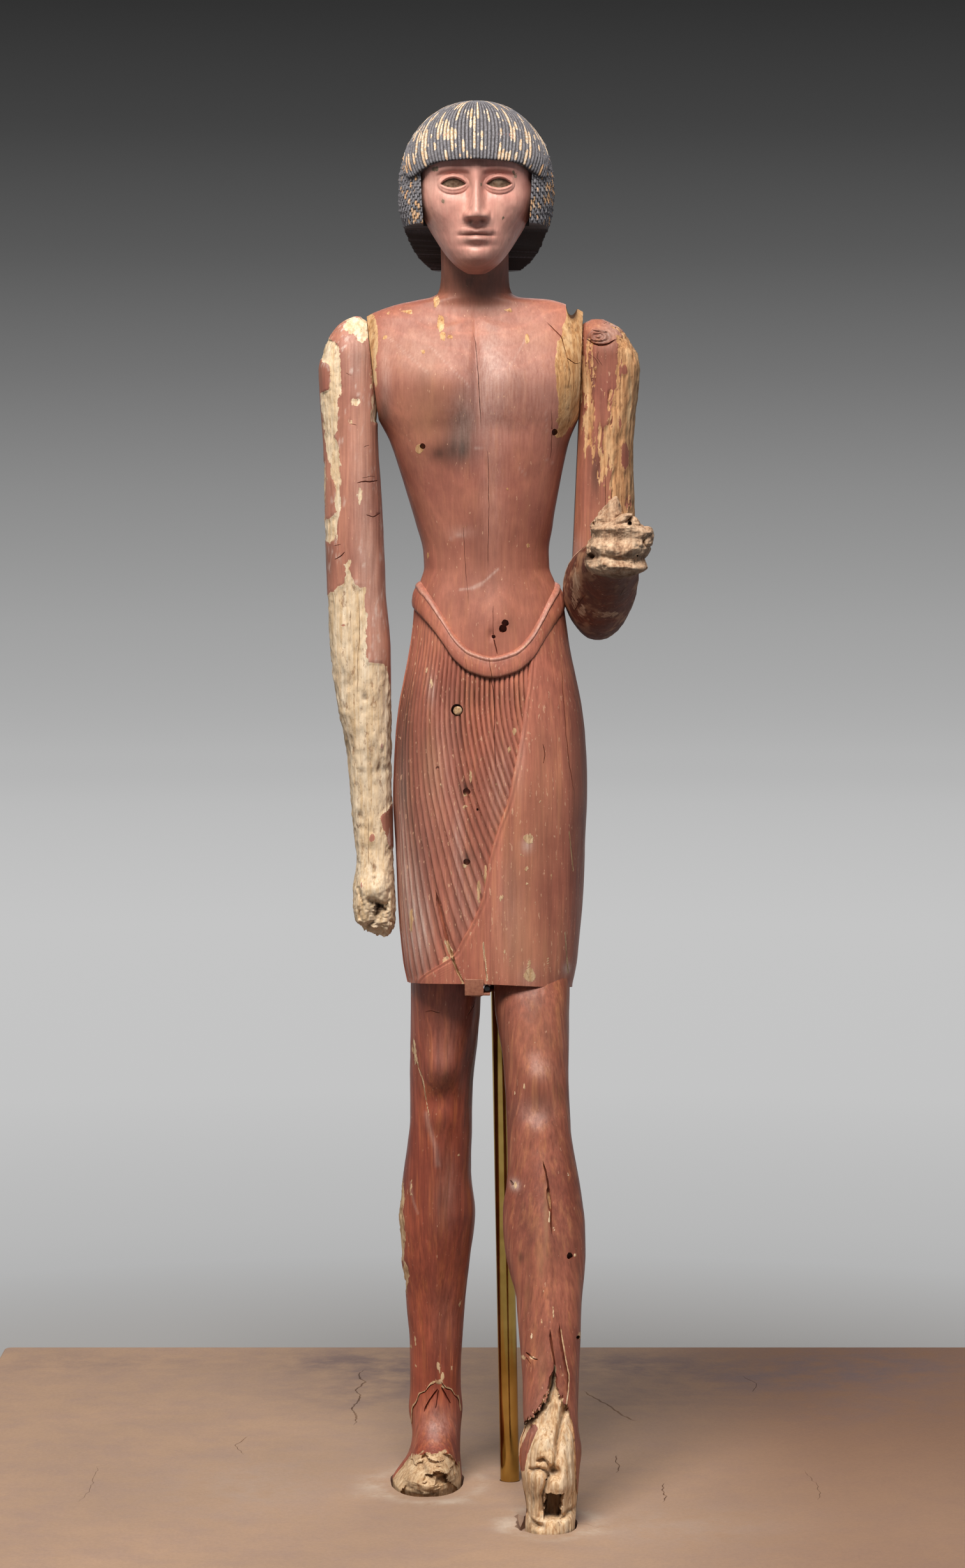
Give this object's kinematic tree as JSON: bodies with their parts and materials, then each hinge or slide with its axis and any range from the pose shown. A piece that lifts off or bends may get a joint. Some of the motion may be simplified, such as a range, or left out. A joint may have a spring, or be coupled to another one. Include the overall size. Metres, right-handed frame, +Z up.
{
  "type": "wooden statue",
  "caption": "Painted wooden statue of a striding man in a wig and pleated kilt, with butted-on arms and broken feet, on a mount board with a support rod.",
  "frame": {"origin": "middle of the mount board's underside", "axes": "+Z up; the figure faces -Y and its own right hand is on the -X side"},
  "size_m": [0.84, 0.836, 1.0684],
  "materials": {
    "painted_wood": "worn matt red paint on carved wood, with bare losses",
    "bare_wood": "weathered bare wood with remains of paint",
    "rod_brass": "polished, slightly toned",
    "clip_paint": "satin brown paint",
    "pad_plastic": "glossy black",
    "board_paint": "flat grey-brown paint, cracked and scuffed"
  },
  "bodies": {
    "root": {"figure": "painted_wood", "right_arm": "bare_wood", "left_upper_arm": "painted_wood", "left_forearm": "bare_wood", "kilt_peg": "bare_wood", "support_rod": "rod_brass", "hem_clip": "clip_paint", "clip_pad": "pad_plastic", "base_board": "board_paint"}
  },
  "joints": []
}
